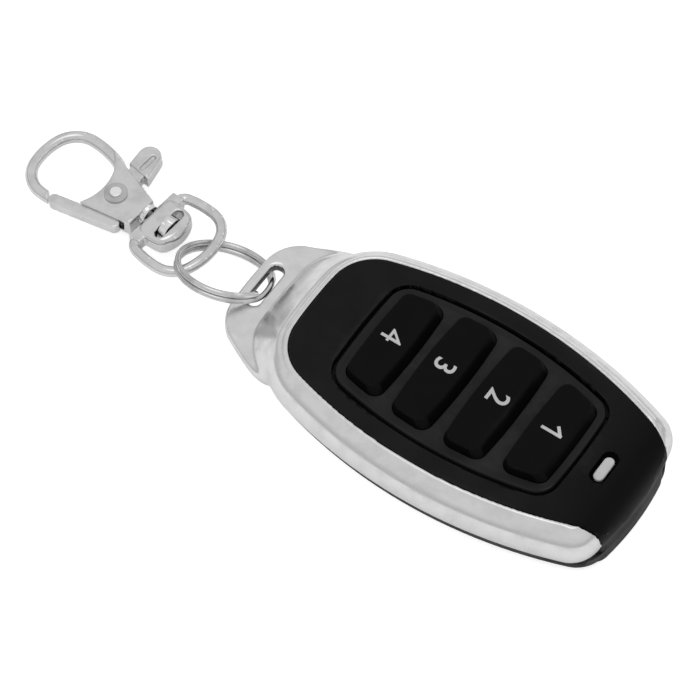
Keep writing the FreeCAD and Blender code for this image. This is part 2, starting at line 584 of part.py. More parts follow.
def key(number):
    piece = body("key_%d" % number)
    line = key_line(number)
    centre = "key%d_x" % number
    flange = sketch(piece, "flange", "XY", "key_base")
    barrel(flange, line, "key_flange")
    pad(piece, flange, "key_flange_top - key_base")
    stem = sketch(piece, "stem", "XY", "key_base")
    barrel(stem, line)
    pad(piece, stem, "key_shoulder - key_base")
    low = sketch(piece, "slope_foot", "XY", "key_shoulder")
    high = sketch(piece, "slope_top", "XY", "key_top")
    barrel(low, line)
    barrel(high, key_top_line(number))
    loft(piece, "slope", low, high)
    soften(piece, "Fillet", "top_round", "key_round", level(size("key_top")))
    nub = sketch(piece, "nub", "XY", "plunger_top + clip_gap")
    circle(nub, centre, "0", "nub_radius")
    pad(piece, nub, "key_base + nub_sink - plunger_top - clip_gap")
    return piece


def switch(number):
    piece = body("switch_body_%d" % number)
    centre = "key%d_x" % number
    can = sketch(piece, "can", "XY", "board_top + clip_gap")
    half = "switch_size / 2"
    box(can, centre + " - " + half, centre + " + " + half, "-" + half, half)
    pad(piece, can, "switch_top - board_top - clip_gap")
    bore = sketch(piece, "bore", "XY", "switch_top")
    circle(bore, centre, "0", "plunger_radius + plunger_gap")
    pocket(piece, bore, "bore_depth")
    plunger = body("switch_plunger_%d" % number)
    stem = sketch(plunger, "stem", "XY", "plunger_foot")
    circle(stem, centre, "0", "plunger_radius")
    pad(plunger, stem, "plunger_top - plunger_foot")
    soften(plunger, "Chamfer", "stem_edge", "clip_thick / 2", level(size("plunger_top")))
    return piece, plunger


def led_window():
    piece = body("led_window")
    start, end = led_ends("window_long", "window_wide")
    pipe = sketch(piece, "pipe", "XY", "window_foot")
    stadium(pipe, start, end, "window_wide / 2")
    pad(piece, pipe, "window_top - window_foot")
    rim = sketch(piece, "rim", "XY", "window_foot")
    stadium(rim, start, end, "window_wide / 2 + window_rim")
    pad(piece, rim, "ceiling - seat_gap - window_foot")
    soften(piece, "Fillet", "window_round", "window_rim / 2", level(size("window_top")))
    return piece


def circuit_board():
    piece = body("circuit_board")
    plate = sketch(piece, "plate", "XY", "board_base")
    barrel(plate, board_line)
    pad(piece, plate, "board_top - board_base")
    tongue = sketch(piece, "tongue", "XY", "board_base")
    box(tongue, "board_right / 2", "board_tip", "-tongue_half", "tongue_half")
    pad(piece, tongue, "board_top - board_base")
    return piece


def indicator_led():
    piece = body("indicator_led")
    can = sketch(piece, "can", "XY", "board_top + clip_gap")
    box(can, "led_x - window_wide / 2", "led_x + window_wide / 2", "-window_wide", "window_wide")
    pad(piece, can, "led_top - board_top - clip_gap")
    return piece


def coin_cell():
    piece = body("coin_cell")
    can = sketch(piece, "can", "XY", "cell_base")
    circle(can, "cell_x", "0", "cell_radius")
    pad(piece, can, "cell_tall - cap_tall")
    cap = sketch(piece, "cap", "XY", "cell_base")
    circle(cap, "cell_x", "0", "cell_radius - cap_rim")
    pad(piece, cap, "cell_tall")
    soften(piece, "Chamfer", "cap_edge", "cap_tall / 2", level(size("cell_base + cell_tall")))
    return piece


def battery_clip():
    """The plus spring: a strip under the cell whose end turns up beside it."""
    piece = body("battery_clip")
    strip = sketch(piece, "strip", "XZ")
    low = "cell_base - clip_gap - clip_thick"
    far = "cell_x + cell_radius + clip_gap * 4"
    polygon(strip, [("cell_x - cell_radius / 2", low), (far + " + clip_thick", low),
                    (far + " + clip_thick", "board_base - clip_gap"), (far, "board_base - clip_gap"),
                    (far, low + " + clip_thick"), ("cell_x - cell_radius / 2", low + " + clip_thick")])
    pad(piece, strip, "2 * clip_half", both=True)
    return piece


def battery_contact():
    """The minus spring: a strip between the cell's cap and the board."""
    piece = body("battery_contact")
    strip = sketch(piece, "strip", "XZ")
    low, high = "cell_base + cell_tall + clip_gap", "board_base - clip_gap"
    box(strip, "cell_x - contact_reach", "cell_x + contact_reach", low, high)
    pad(piece, strip, "2 * contact_half", both=True)
    return piece


def chips():
    """The encoder chip, the metal can of the resonator, the small parts and the printed coil's post."""
    chip = body("encoder_chip")
    shape = sketch(chip, "case", "XY", "board_top + clip_gap")
    left, low = "key3_x + switch_size", "switch_size"
    box(shape, left, left + " + chip_long", low, low + " + chip_wide")
    pad(chip, shape, "chip_tall")
    can = body("radio_resonator")
    shape = sketch(can, "case", "XY", "board_top + clip_gap")
    across, up = "key2_x + switch_size", "-switch_size"
    stadium(shape, (across, up + " - can_reach"), (across, up + " + can_reach"), "can_radius")
    pad(can, shape, "chip_tall")
    coil = body("tuning_coil")
    shape = sketch(coil, "case", "XY", "board_top + clip_gap")
    circle(shape, "key4_x + switch_size", "switch_size + coil_shift", "coil_radius")
    pad(coil, shape, "chip_tall")
    small = body("chip_passives")
    small.AllowCompound = True
    shape = sketch(small, "cases", "XY", "board_top + clip_gap")
    for number, hand in ((4, -1), (3, -1), (2, -1), (1, 1)):
        left = "key%d_x - switch_size / 2" % number
        low = "%d * (switch_size + small_shift)" % hand
        box(shape, left, left + " + small_long", low + " - small_wide / 2", low + " + small_wide / 2")
    pad(small, shape, "small_tall")


def cover_screws():
    piece = body("cover_screws")
    piece.AllowCompound = True
    heads = sketch(piece, "heads", "XY", "head_sink")
    shanks = sketch(piece, "shanks", "XY", "head_sink")
    for across, up in screw_places():
        circle(heads, across, up, "head_radius")
        circle(shanks, across, up, "thread_radius")
    pad(piece, heads, "head_tall")
    pad(piece, shanks, "screw_tall")
    recess = sketch(piece, "recess", "XY", "head_sink")
    cross_slot(recess, "cross_long", "cross_wide")
    pocket(piece, recess, "head_tall / 2", up=True)
    cross = sketch(piece, "recess_across", "XY", "head_sink")
    cross_slot(cross, "cross_wide", "cross_long")
    pocket(piece, cross, "head_tall / 2", up=True)
    return piece


def cross_slot(drawn, along, aside):
    for across, up in screw_places():
        box(drawn, across + " - " + along, across + " + " + along, up + " - " + aside, up + " + " + aside)


def bend(start, heading, end):
    """Arc from start along heading to end."""
    chord = end - start
    reach = chord.Length
    along = FreeCAD.Vector(chord).normalize()
    off = heading - along * heading.dot(along)
    half = math.acos(max(-1, min(1, heading.dot(along) / heading.Length)))
    middle = (start + end) * 0.5 + off.normalize() * (reach / 2 * math.tan(half / 2))
    return Part.Arc(start, middle, end)


def split_ring():
    """Two stacked turns of one wire, with the climb between them where the ring is split."""
    radius, pitch = size("ring_radius"), size("ring_pitch")
    gap = math.radians(size("ring_climb")) / 2

    def spot(angle, height):
        return FreeCAD.Vector(radius * math.cos(angle), radius * math.sin(angle), height)

    def heading(angle):
        return FreeCAD.Vector(-math.sin(angle), math.cos(angle), 0)

    low, high = -pitch / 2, pitch / 2
    turn = math.pi
    runs = [Part.Arc(spot(gap, low), spot(turn / 2 + gap / 2, low), spot(turn, low)),
            Part.Arc(spot(turn, low), spot(1.5 * turn - gap / 2, low), spot(2 * turn - gap, low)),
            bend(spot(-gap, low), heading(-gap), spot(0, 0)),
            bend(spot(gap, high), heading(gap) * -1, spot(0, 0)),
            Part.Arc(spot(gap, high), spot(turn / 2 + gap / 2, high), spot(turn, high)),
            Part.Arc(spot(turn, high), spot(1.5 * turn - gap / 2, high), spot(2 * turn - gap, high))]
    path = Part.Wire(Part.__sortEdges__([run.toShape() for run in runs]))
    section = Part.Wire(Part.Circle(spot(gap, low), heading(gap), size("ring_wire") / 2).toShape())
    piece = doc.addObject("Part::Feature", "split_ring")
    piece.Label = "split_ring"
    piece.Shape = path.makePipeShell([section], True, False)
    turned = FreeCAD.Rotation(FreeCAD.Vector(0, 0, 1), size("ring_yaw"))
    tilted = FreeCAD.Rotation(FreeCAD.Vector(1, 0, 0), -size("ring_tilt"))
    place = FreeCAD.Vector(size("ring_x"), size("ring_y"), size("ring_z"))
    piece.Placement = FreeCAD.Placement(place, turned.multiply(tilted))
    wire = sum(edge.Length for edge in path.Edges) * math.pi * size("ring_wire") ** 2 / 4
    print("split ring volume over section times length", piece.Shape.Volume / wire)
    nodes.append(piece)


def clasp_place(piece):
    turned = FreeCAD.Rotation(FreeCAD.Vector(0, 0, 1), size("clasp_yaw"))
    pitched = FreeCAD.Rotation(FreeCAD.Vector(0, 1, 0), -size("clasp_pitch"))
    place = FreeCAD.Vector(size("clasp_x"), size("clasp_y"), size("clasp_z"))
    piece.Placement = FreeCAD.Placement(place, turned.multiply(pitched))


bow_line = {"left": "-bar_left + bow_wire / 2", "right": "bow_end", "peak": "bow_peak", "half": "bow_half",
            "side": "bow_side", "bow_l": "tail_bow", "bow_r": "bow_curve", "corner_l": "bow_wire",
            "corner_r": "bow_corner"}
dome_line = {"left": "-bar_left", "right": "dome_end", "peak": "bar_right", "half": "dome_half",
             "side": "dome_half * 3", "bow_l": "tail_bow", "bow_r": "dome_half * 1.5",
             "corner_l": "dome_corner", "corner_r": "dome_corner"}
hook_line = {"left": "-hook_left", "right": "-hook_right", "peak": "hook_peak", "half": "hook_half",
             "side": "hook_side", "bow_l": "hook_bow", "bow_r": "hook_bow", "corner_l": "hook_corner",
             "corner_r": "hook_heel"}


def both_faces(thick):
    top, base = level(size(thick + " / 2")), level(size("-" + thick + " / 2"))
    return lambda bounds: top(bounds) or base(bounds)


def swivel_bow():
    piece = body("swivel_bow")
    dome = sketch(piece, "dome")
    barrel(dome, dome_line, middle="swivel_y")
    pad(piece, dome, "dome_thick", both=True)
    soften(piece, "Fillet", "dome_round", "dome_round", both_faces("dome_thick"))
    bar = sketch(piece, "bar")
    box(bar, "-bar_left", "bar_right", "swivel_y - bar_half", "swivel_y + bar_half")
    pad(piece, bar, "bar_thick", both=True)
    path = sketch(piece, "path")
    barrel(path, bow_line, middle="swivel_y")
    wire = sketch(piece, "wire", "YZ", "bow_peak")
    circle(wire, "swivel_y + bow_half", "0", "bow_wire / 2")
    sweep(piece, "Additive", "loop", wire, path)
    bore = sketch(piece, "bore", "YZ", "-bar_left - bow_wire")
    circle(bore, "swivel_y", "0", "post_radius + pin_gap")
    pocket(piece, bore, "bar_left + bow_wire + pit_x", up=True)
    pit = sketch(piece, "pit", "XY")
    reach = "(pit_half - pit_long / 2)"
    stadium(pit, ("pit_x", "swivel_y - " + reach), ("pit_x", "swivel_y + " + reach), "pit_long / 2")
    pocket(piece, pit, "dome_thick * 2", both=True)
    clasp_place(piece)
    return piece


def swivel_post():
    """The hook's post: a collar against the bar and a wide head in the dome's window."""
    piece = body("swivel_post")
    shaft = sketch(piece, "shaft", "YZ", "-body_right + clip_gap")
    circle(shaft, "swivel_y", "0", "post_radius")
    pad(piece, shaft, "body_right - clip_gap + pit_x")
    head = sketch(piece, "head", "YZ", "pit_x - pit_long / 2 + collar_gap")
    circle(head, "swivel_y", "0", "post_head")
    pad(piece, head, "pit_long - 2 * collar_gap")
    collar = sketch(piece, "collar", "YZ", "-body_right + clip_gap")
    circle(collar, "swivel_y", "0", "collar_radius")
    pad(piece, collar, "body_right - clip_gap - bar_left - collar_gap")
    clasp_place(piece)
    return piece


def gate_sweep(drawn):
    """The room that the gate's tip sweeps about its rivet, cut off level above the bar."""
    reach = "sqrt((tip_x - rivet_x) ^ 2 + (tip_y - rivet_y) ^ 2) + gate_wire / 2 + gate_gap"
    rise = "hook_y - hook_half + hook_wire"
    centre, radius = (size("rivet_x"), size("rivet_y")), size(reach)
    half = math.sqrt(radius ** 2 - (size(rise) - centre[1]) ** 2)
    left, right = (centre[0] - half, size(rise)), (centre[0] + half, size(rise))
    start, end = (math.atan2(spot[1] - centre[1], spot[0] - centre[0]) for spot in (left, right))
    rim = drawn.addGeometry(arc(centre, radius, start, end), False)
    lid = drawn.addGeometry(Part.LineSegment(FreeCAD.Vector(*right, 0), FreeCAD.Vector(*left, 0)), False)
    join(drawn, "Coincident", [(rim, 2, lid, 1), (lid, 2, rim, 1)])
    fix(drawn, "Radius", (rim,), reach)
    pin(drawn, rim, 3, "rivet_x", "rivet_y")
    fix(drawn, "DistanceY", (-1, 1, lid, 1), rise)
    drawn.addConstraint(Sketcher.Constraint("Horizontal", lid))


def body_outline(drawn):
    """The hook's flat body: tapered towards the neck, hollowed in an arc by the hook's mouth."""
    centre, radius = (size("mouth_x"), size("mouth_y")), size("mouth_radius")
    ends = []
    for height in (-size("body_lower"), size("body_upper")):
        ends.append((centre[0] + math.sqrt(radius ** 2 - (height - centre[1]) ** 2), height))
    angles = [math.atan2(spot[1] - centre[1], spot[0] - centre[0]) for spot in ends]
    mouth = drawn.addGeometry(arc(centre, radius, *angles), False)
    neck = [(-size("body_right"), size("neck_upper")), (-size("body_right"), -size("neck_lower"))]
    points = [FreeCAD.Vector(*spot, 0) for spot in (ends[1], neck[0], neck[1], ends[0])]
    lines = [drawn.addGeometry(Part.LineSegment(points[n], points[n + 1]), False) for n in range(3)]
    join(drawn, "Coincident", [(mouth, 2, lines[0], 1), (lines[0], 2, lines[1], 1),
                               (lines[1], 2, lines[2], 1), (lines[2], 2, mouth, 1)])
    fix(drawn, "Radius", (mouth,), "mouth_radius")
    pin(drawn, mouth, 3, "mouth_x", "mouth_y")
    fix(drawn, "DistanceY", (-1, 1, mouth, 1), "-body_lower")
    fix(drawn, "DistanceY", (-1, 1, mouth, 2), "body_upper")
    pin(drawn, lines[1], 1, "-body_right", "neck_upper")
    pin(drawn, lines[1], 2, "-body_right", "-neck_lower")


def hook_body():
    piece = body("hook_body")
    path = sketch(piece, "path")
    barrel(path, hook_line, middle="hook_y")
    wire = sketch(piece, "wire", "YZ", "hook_peak")
    circle(wire, "hook_y + hook_half", "0", "hook_wire / 2")
    sweep(piece, "Additive", "loop", wire, path)
    gate = sketch(piece, "gate_room")
    gate_sweep(gate)
    pocket(piece, gate, "hook_wire * 2", both=True)
    plate = sketch(piece, "plate")
    body_outline(plate)
    pad(piece, plate, "body_thick", both=True)
    soften(piece, "Fillet", "body_round", "body_round", both_faces("body_thick"))
    slot = sketch(piece, "lever_slot")
    left, low, high = "mouth_x + mouth_radius / 2", "-body_lower - slot_wing", "body_upper + slot_wing"
    side, crest = "rivet_x + hub_radius + slot_room", "rivet_y + hub_radius + slot_room"
    heel = "heel_x + gate_wire / 2 + slot_room"
    polygon(slot, [(left, low), (heel, low), (heel, "heel_y + gate_wire"), (side, "rivet_y"),
                   (side + " + slot_wing", high), ("thumb_foot_x + slot_room", high),
                   ("thumb_foot_x + slot_room", crest), (left, crest)])
    pocket(piece, slot, "cheek_gap", both=True)
    bore = sketch(piece, "rivet_bore", "XY", "-body_thick")
    circle(bore, "rivet_x", "rivet_y", "rivet_radius + clip_gap")
    pocket(piece, bore, "2 * body_thick", up=True)
    clasp_place(piece)
    return piece


def thumb_outline(drawn):
    """A round tip with straight sides that widen to the foot beside the hook's body."""
    centre, radius = (size("thumb_x"), size("thumb_y")), size("thumb_radius")
    feet = [(size("thumb_heel_x"), size("thumb_heel_y")), (size("thumb_foot_x"), size("thumb_foot_y"))]
    touches = []
    for foot, hand in zip(feet, (1, -1)):
        turn = math.atan2(foot[1] - centre[1], foot[0] - centre[0])
        turn += hand * math.acos(radius / math.dist(foot, centre))
        touches.append(turn)
    spots = [(centre[0] + radius * math.cos(turn), centre[1] + radius * math.sin(turn)) for turn in touches]
    while touches[1] < touches[0]:
        touches[1] += 2 * math.pi
    tip = drawn.addGeometry(arc(centre, radius, *touches), False)
    points = [FreeCAD.Vector(*spot, 0) for spot in (spots[1], feet[1], feet[0], spots[0])]
    lines = [drawn.addGeometry(Part.LineSegment(points[n], points[n + 1]), False) for n in range(3)]
    join(drawn, "Tangent", [(tip, 2, lines[0], 1), (lines[2], 2, tip, 1)])
    join(drawn, "Coincident", [(lines[0], 2, lines[1], 1), (lines[1], 2, lines[2], 1)])
    fix(drawn, "Radius", (tip,), "thumb_radius")
    pin(drawn, tip, 3, "thumb_x", "thumb_y")
    pin(drawn, lines[1], 1, "thumb_foot_x", "thumb_foot_y")
    pin(drawn, lines[1], 2, "thumb_heel_x", "thumb_heel_y")


def gate_lever():
    piece = body("gate_lever")
    thumb = sketch(piece, "thumb")
    thumb_outline(thumb)
    pad(piece, thumb, "thumb_thick", both=True)
    soften(piece, "Fillet", "thumb_round", "thumb_round", both_faces("thumb_thick"))
    groove = sketch(piece, "groove", "XY", "thumb_thick / 2")
    stadium(groove, ("groove_x", "groove_foot"), ("groove_x", "thumb_y"), "thumb_groove")
    pocket(piece, groove, "thumb_groove")
    flat = "cheek_gap - 2 * pin_gap"
    for name, start, end, radius in (
            ("lever", ("rivet_x", "rivet_y"), ("thumb_x", "thumb_y"), "lever_radius"),
            ("web", ("rivet_x", "rivet_y"), ("rivet_x", "web_y"), "web_radius"),
            ("bar", ("tip_x", "tip_y"), ("heel_x", "heel_y"), "gate_wire / 2")):
        drawn = sketch(piece, name)
        stadium(drawn, start, end, radius)
        pad(piece, drawn, flat, both=True)
    hub = sketch(piece, "hub")
    circle(hub, "rivet_x", "rivet_y", "hub_radius")
    pad(piece, hub, flat, both=True)
    bore = sketch(piece, "bore", "XY", "-body_thick")
    circle(bore, "rivet_x", "rivet_y", "rivet_radius + pin_gap")
    pocket(piece, bore, "2 * body_thick", up=True)
    clasp_place(piece)
    return piece


def gate_rivet():
    piece = body("gate_rivet")
    seat = "body_thick / 2 + clip_gap"
    shank = sketch(piece, "pin", "XY", "-body_thick / 2 - clip_gap - rivet_rise")
    circle(shank, "rivet_x", "rivet_y", "rivet_radius")
    pad(piece, shank, "body_thick + 2 * clip_gap + 2 * rivet_rise")
    upper = sketch(piece, "upper", "XY", seat)
    lower = sketch(piece, "lower", "XY", "-body_thick / 2 - clip_gap")
    button = sketch(piece, "button", "XY", seat + " + rivet_rise")
    for drawn, radius in ((upper, "rivet_head"), (lower, "rivet_head"), (button, "button_radius")):
        circle(drawn, "rivet_x", "rivet_y", radius)
    pad(piece, upper, "rivet_rise")
    pad(piece, lower, "rivet_rise", down=True)
    pad(piece, button, "button_rise")
    crest = size(seat + " + rivet_rise + button_rise")
    soften(piece, "Fillet", "button_round", "button_rise / 2", level(crest))
    clasp_place(piece)
    return piece


metal_frame()
top_cover()
bottom_cover()
keypad_mat()
for number in (1, 2, 3, 4):
    key(number)
    switch(number)
led_window()
circuit_board()
indicator_led()
coin_cell()
battery_clip()
battery_contact()
chips()
cover_screws()
split_ring()
swivel_bow()
swivel_post()
hook_body()
gate_lever()
gate_rivet()
doc.recompute()

for thing in doc.Objects:
    if "Invalid" in thing.State or "Error" in thing.State:
        raise RuntimeError(thing.Name + " failed: " + str(thing.State))
for piece in nodes:
    if piece.Shape.isNull() or not piece.Shape.isValid():
        raise RuntimeError(piece.Label + " has no valid shape")
os.makedirs("parts", exist_ok=True)
for piece in nodes:
    piece.Shape.exportStep("parts/" + piece.Label + ".step")
    print(piece.Label, len(piece.Shape.Solids), round(piece.Shape.Volume, 2))
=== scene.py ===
import bpy
import json
import math
from mathutils import Matrix, Vector

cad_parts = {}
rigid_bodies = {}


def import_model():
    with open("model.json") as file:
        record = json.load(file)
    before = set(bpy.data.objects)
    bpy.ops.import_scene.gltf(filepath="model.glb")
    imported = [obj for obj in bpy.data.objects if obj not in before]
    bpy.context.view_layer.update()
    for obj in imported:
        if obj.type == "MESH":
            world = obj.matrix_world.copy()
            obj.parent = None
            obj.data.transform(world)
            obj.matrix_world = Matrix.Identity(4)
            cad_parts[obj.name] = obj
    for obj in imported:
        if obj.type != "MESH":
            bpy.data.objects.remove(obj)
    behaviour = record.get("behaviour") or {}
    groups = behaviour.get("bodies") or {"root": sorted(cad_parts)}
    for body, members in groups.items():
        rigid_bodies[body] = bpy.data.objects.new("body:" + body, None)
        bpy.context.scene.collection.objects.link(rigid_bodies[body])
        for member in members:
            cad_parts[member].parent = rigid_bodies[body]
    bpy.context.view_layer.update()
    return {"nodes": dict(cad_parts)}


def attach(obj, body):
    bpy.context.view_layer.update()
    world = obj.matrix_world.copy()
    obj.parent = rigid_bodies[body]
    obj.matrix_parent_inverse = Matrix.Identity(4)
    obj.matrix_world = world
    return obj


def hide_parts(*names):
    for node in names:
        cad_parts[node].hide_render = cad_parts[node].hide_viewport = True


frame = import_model()
mm = 0.001
print("remote: frame loaded")


# node groups shared by the finishes; noise scales are per metre

def newGroup(name, inputs, outputs):
    group = bpy.data.node_groups.new(name, "ShaderNodeTree")
    for socketName, kind, value in inputs:
        socket = group.interface.new_socket(socketName, in_out="INPUT", socket_type=kind)
        if value is not None:
            socket.default_value = value
    for socketName, kind in outputs:
        group.interface.new_socket(socketName, in_out="OUTPUT", socket_type=kind)
    return group, group.nodes.new("NodeGroupInput"), group.nodes.new("NodeGroupOutput")


def feed(tree, socket, amount):
    # a plain value is set, an output is linked
    if isinstance(amount, (int, float, tuple)):
        socket.default_value = amount
    else:
        tree.links.new(amount, socket)


def noiseNode(tree, place, scale, detail=3.0):
    node = tree.nodes.new("ShaderNodeTexNoise")
    node.inputs["Detail"].default_value = detail
    tree.links.new(place, node.inputs["Vector"])
    feed(tree, node.inputs["Scale"], scale)
    return node.outputs["Fac"]


def spread(tree, value, fromLow, fromHigh, toLow, toHigh):
    node = tree.nodes.new("ShaderNodeMapRange")
    tree.links.new(value, node.inputs["Value"])
    ends = {"From Min": fromLow, "From Max": fromHigh, "To Min": toLow, "To Max": toHigh}
    for socketName, amount in ends.items():
        feed(tree, node.inputs[socketName], amount)
    return node.outputs["Result"]


def combine(tree, operation, first, second):
    node = tree.nodes.new("ShaderNodeMath")
    node.operation = operation
    feed(tree, node.inputs[0], first)
    feed(tree, node.inputs[1], second)
    return node.outputs["Value"]


def blendColour(tree, factor, first, second):
    # sockets 6 and 7 are the two colours, output 2 is the mixed one
    node = tree.nodes.new("ShaderNodeMix")
    node.data_type = "RGBA"
    tree.links.new(factor, node.inputs[0])
    feed(tree, node.inputs[6], first)
    feed(tree, node.inputs[7], second)
    return node.outputs[2]


def grey(level):
    return (level, level, level, 1.0)


surfaceOutputs = [("Tone", "NodeSocketColor"), ("Rough", "NodeSocketFloat"), ("Height", "NodeSocketFloat")]


def buildPlatedCasting():
    # bright plating over a slightly wavy casting: tone, roughness and height
    casting = {"smudges": 450.0, "smudged": (0.42, 0.66), "pits": 4200.0, "pitDepth": 0.05}
    inputs = [("Place", "NodeSocketVector", None), ("Ripple", "NodeSocketFloat", 220.0),
              ("Light", "NodeSocketColor", grey(0.86)), ("Dull", "NodeSocketColor", grey(0.7)),
              ("Shine", "NodeSocketFloat", 0.08), ("Haze", "NodeSocketFloat", 0.22)]
    group, start, end = newGroup("platedCasting", inputs, surfaceOutputs)
    given = start.outputs
    wave = noiseNode(group, given["Place"], given["Ripple"], 1.5)
    smudge = noiseNode(group, given["Place"], casting["smudges"], 5.0)
    pits = noiseNode(group, given["Place"], casting["pits"], 2.0)
    cloud = spread(group, smudge, *casting["smudged"], 0.0, 1.0)
    fine = combine(group, "MULTIPLY", pits, casting["pitDepth"])
    group.links.new(blendColour(group, cloud, given["Light"], given["Dull"]), end.inputs["Tone"])
    group.links.new(spread(group, cloud, 0.0, 1.0, given["Shine"], given["Haze"]), end.inputs["Rough"])
    group.links.new(combine(group, "ADD", wave, fine), end.inputs["Height"])
    return group


def buildMouldedSkin():
    # fine spark-eroded grain of a black moulding, with faint rubbed patches
    patches = {"scale": 160.0, "rubbed": (0.4, 0.7)}
    inputs = [("Place", "NodeSocketVector", None), ("Grain", "NodeSocketFloat", 5200.0),
              ("Deep", "NodeSocketColor", grey(0.012)), ("Rubbed", "NodeSocketColor", grey(0.03)),
              ("Sheen", "NodeSocketFloat", 0.3), ("Matt", "NodeSocketFloat", 0.5)]
    group, start, end = newGroup("mouldedSkin", inputs, surfaceOutputs)
    given = start.outputs
    cell = group.nodes.new("ShaderNodeTexVoronoi")
    group.links.new(given["Place"], cell.inputs["Vector"])
    group.links.new(given["Grain"], cell.inputs["Scale"])
    speck = noiseNode(group, given["Place"], given["Grain"], 3.0)
    blotch = noiseNode(group, given["Place"], patches["scale"], 4.0)
    patch = spread(group, blotch, *patches["rubbed"], 0.0, 1.0)
    group.links.new(blendColour(group, patch, given["Deep"], given["Rubbed"]), end.inputs["Tone"])
    group.links.new(spread(group, patch, 0.0, 1.0, given["Matt"], given["Sheen"]), end.inputs["Rough"])
    group.links.new(combine(group, "ADD", cell.outputs["Distance"], speck), end.inputs["Height"])
    return group


def buildEdgeWear():
    # masks that are high along outer edges and in crevices, broken up by noise; the edge mask is wear on
    # mouldings and a painted highlight on plating, and the crevice mask is painted shade
    wearHighlightShade = {"rise": 0.06, "crevice": (0.43, 0.48), "scale": 900.0, "broken": (0.35, 0.65), "least": 0.3}
    inputs = [("Place", "NodeSocketVector", None), ("Width", "NodeSocketFloat", 0.54)]
    masks = [("Mask", "NodeSocketFloat"), ("PaintedCreviceShade", "NodeSocketFloat")]
    group, start, end = newGroup("edgeWearHighlightShade", inputs, masks)
    given = start.outputs
    point = group.nodes.new("ShaderNodeNewGeometry").outputs["Pointiness"]
    high = combine(group, "ADD", given["Width"], wearHighlightShade["rise"])
    edge = spread(group, point, given["Width"], high, 0.0, 1.0)
    crevice = spread(group, point, *wearHighlightShade["crevice"], 1.0, 0.0)
    fleck = noiseNode(group, given["Place"], wearHighlightShade["scale"], 4.0)
    broken = spread(group, fleck, *wearHighlightShade["broken"], wearHighlightShade["least"], 1.0)
    group.links.new(combine(group, "MULTIPLY", edge, broken), end.inputs["Mask"])
    group.links.new(combine(group, "MULTIPLY", crevice, broken), end.inputs["PaintedCreviceShade"])
    return group


castingGroup, skinGroup, wearHighlightShadeGroup = buildPlatedCasting(), buildMouldedSkin(), buildEdgeWear()


def useGroup(tree, group, place, values):
    node = tree.nodes.new("ShaderNodeGroup")
    node.node_tree = group
    tree.links.new(place, node.inputs["Place"])
    for socketName, amount in values.items():
        node.inputs[socketName].default_value = amount
    return node


def newFinish(name):
    finish = bpy.data.materials.new(name)
    finish.use_nodes = True
    tree = finish.node_tree
    place = tree.nodes.new("ShaderNodeTexCoord").outputs["Object"]
    return finish, tree, tree.nodes["Principled BSDF"], place


def bump(tree, height, depth, shader):
    node = tree.nodes.new("ShaderNodeBump")
    node.inputs["Strength"].default_value = 1.0
    node.inputs["Distance"].default_value = depth
    tree.links.new(height, node.inputs["Height"])
    tree.links.new(node.outputs["Normal"], shader.inputs["Normal"])


def dressSurface(tree, shader, tone, surface, depth):
    tree.links.new(tone, shader.inputs["Base Color"])
    tree.links.new(surface.outputs["Rough"], shader.inputs["Roughness"])
    bump(tree, surface.outputs["Height"], depth, shader)


# tones of the painted highlight on plated edges and of the painted shade on the nose, and how wide the wear
# on mouldings is
tones = {"paintedEdgeHighlight": 0.95, "nose": 0.0005, "mouldedWidth": 0.53}


def chromeFinish(name, ripple, depth, light, dull, shine, haze, edge=0.56, creviceShade=None):
    finish, tree, shader, place = newFinish(name)
    values = {"Ripple": ripple, "Light": grey(light), "Dull": grey(dull), "Shine": shine, "Haze": haze}
    casting = useGroup(tree, castingGroup, place, values)
    wearHighlightShade = useGroup(tree, wearHighlightShadeGroup, place, {"Width": edge})
    # plated edges get a painted highlight, and crevices get painted shade when a crevice tone is given
    tone = blendColour(tree, wearHighlightShade.outputs["Mask"], casting.outputs["Tone"], grey(tones["paintedEdgeHighlight"]))
    if creviceShade is not None:
        tone = blendColour(tree, wearHighlightShade.outputs["PaintedCreviceShade"], tone, grey(creviceShade))
    shader.inputs["Metallic"].default_value = 1.0
    dressSurface(tree, shader, tone, casting, depth)
    return finish


def useSkin(tree, place, grain, deep, rubbed, sheen, matt):
    values = {"Grain": grain, "Deep": grey(deep), "Rubbed": grey(rubbed), "Sheen": sheen, "Matt": matt}
    return useGroup(tree, skinGroup, place, values)


def blackFinish(name, grain, depth, deep, rubbed, sheen, matt, worn, mirror, noseShadeSpan=None):
    finish, tree, shader, place = newFinish(name)
    skin = useSkin(tree, place, grain, deep, rubbed, sheen, matt)
    wearHighlightShade = useGroup(tree, wearHighlightShadeGroup, place, {"Width": tones["mouldedWidth"]})
    tone = blendColour(tree, wearHighlightShade.outputs["Mask"], skin.outputs["Tone"], grey(worn))
    if noseShadeSpan:
        # painted shade: deeper black towards the nose, between two places along X
        axis = tree.nodes.new("ShaderNodeSeparateXYZ")
        tree.links.new(place, axis.inputs["Vector"])
        paintedNoseShade = spread(tree, axis.outputs["X"], *noseShadeSpan, 0.0, 1.0)
        tone = blendColour(tree, paintedNoseShade, tone, grey(tones["nose"]))
    shader.inputs["Specular IOR Level"].default_value = mirror
    dressSurface(tree, shader, tone, skin, depth)
    return finish


def paleFinish(name, grain, depth, deep, rubbed, sheen, matt, coat):
    finish, tree, shader, place = newFinish(name)
    skin = useSkin(tree, place, grain, deep, rubbed, sheen, matt)
    shader.inputs["Coat Weight"].default_value = coat
    dressSurface(tree, shader, skin.outputs["Tone"], skin, depth)
    return finish


# name, ripple, bump depth, light and dull tone, least and most roughness, edge, and the tone of painted shade
# in crevices
rimChrome = chromeFinish("rimChrome", 90.0, 0.00001, 0.8, 0.73, 0.18, 0.28, 0.64)
claspChrome = chromeFinish("claspChrome", 320.0, 0.00002, 0.76, 0.66, 0.08, 0.2, 0.515, 0.1)
